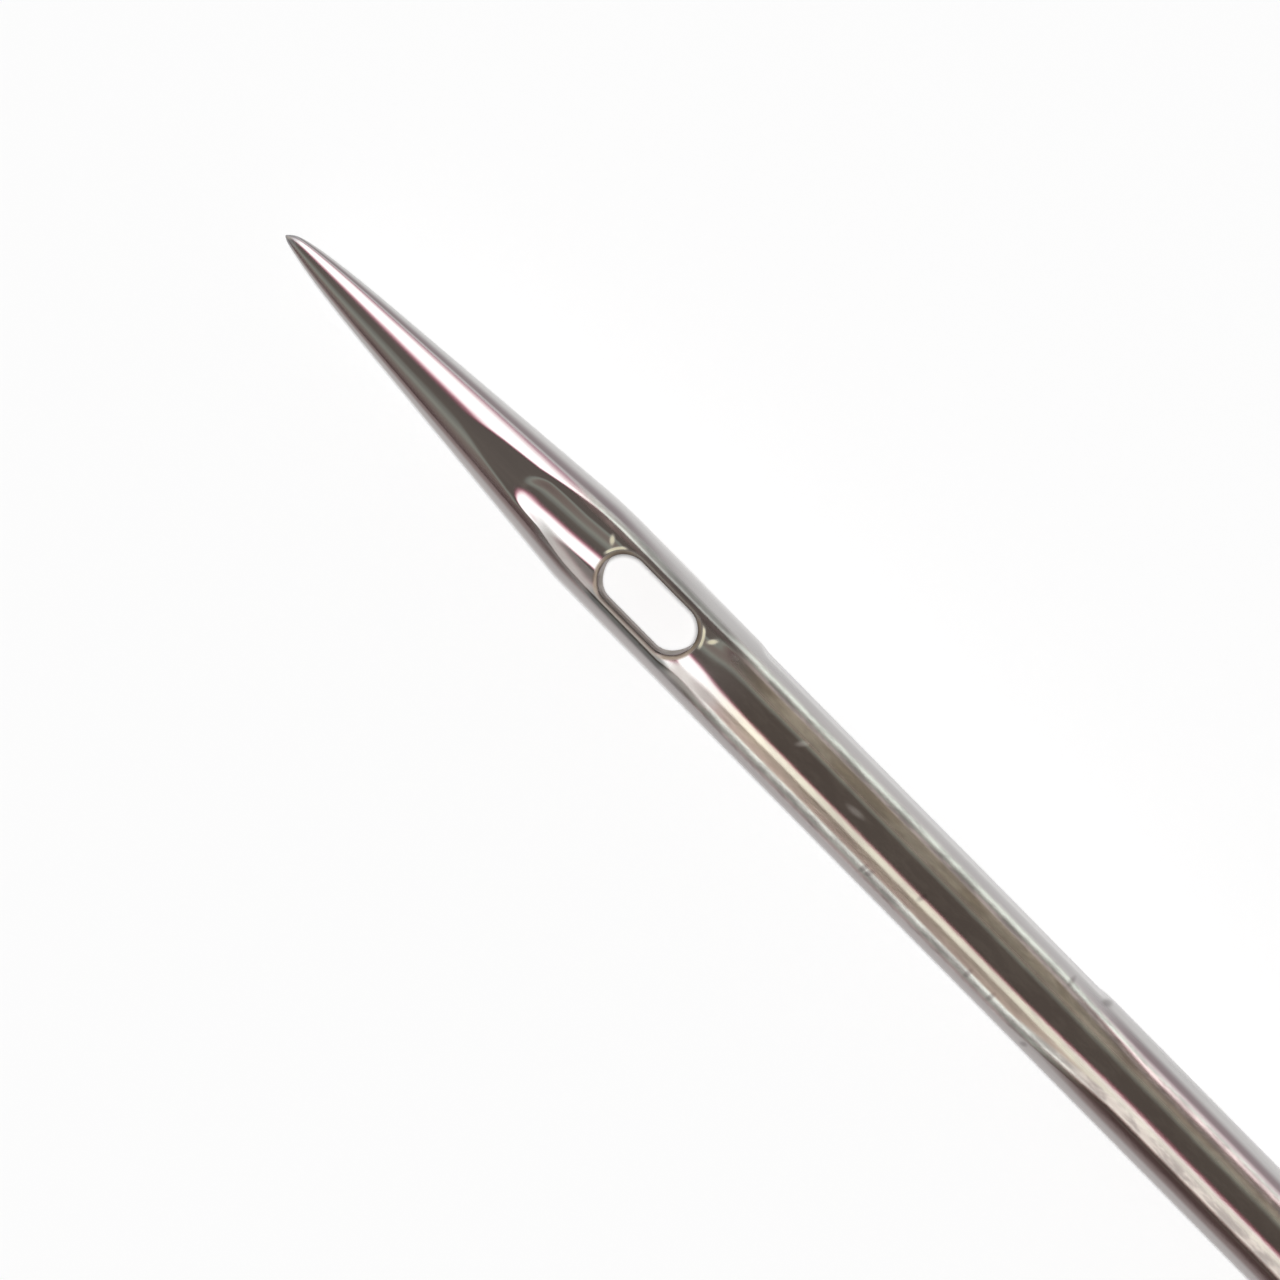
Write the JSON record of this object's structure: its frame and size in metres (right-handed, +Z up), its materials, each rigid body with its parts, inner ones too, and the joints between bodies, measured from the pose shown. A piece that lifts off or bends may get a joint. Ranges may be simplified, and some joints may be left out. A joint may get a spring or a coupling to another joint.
{
  "type": "sewing machine needle",
  "caption": "Slim steel machine needle with a flat-sided shank, a sharp point, a long thread groove, an eye and a hollow scarf on the back.",
  "frame": {"origin": "middle of the flat on the shank, which seats against the needle clamp and lies on the surface", "axes": "-X along the needle towards its tip, +Z up from the flat towards the side of the long groove"},
  "size_m": [0.0385, 0.002, 0.0016],
  "materials": {
    "plated_steel": "polished nickel plate over steel, with fine lengthwise grinding lines"
  },
  "bodies": {
    "root": {"needle": "plated_steel"}
  },
  "joints": []
}
